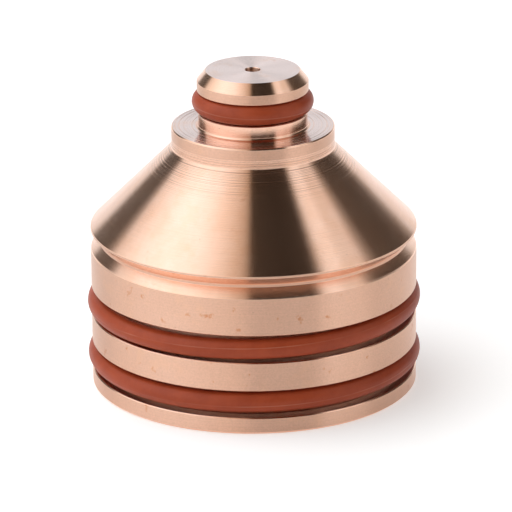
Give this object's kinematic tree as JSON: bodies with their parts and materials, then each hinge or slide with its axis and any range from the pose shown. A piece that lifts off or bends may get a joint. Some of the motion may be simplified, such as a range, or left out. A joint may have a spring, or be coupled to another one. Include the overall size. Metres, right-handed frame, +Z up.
{
  "type": "plasma torch nozzle",
  "caption": "Turned copper plasma torch nozzle: grooved cylindrical base, conical shoulder, collar and sealed tip with a small central orifice.",
  "frame": {"origin": "on the axis, in the plane of the open base that the nozzle stands on", "axes": "+Z up along the bore towards the tip; X and Y are free round the axis"},
  "size_m": [0.0292, 0.0292, 0.0283],
  "materials": {
    "copper": "bright fine-turned copper",
    "silicone": "smooth moulded red-brown silicone rubber"
  },
  "bodies": {
    "root": {"nozzle_body": "copper", "lower_base_o_ring": "silicone", "upper_base_o_ring": "silicone", "tip_o_ring": "silicone"}
  },
  "joints": []
}
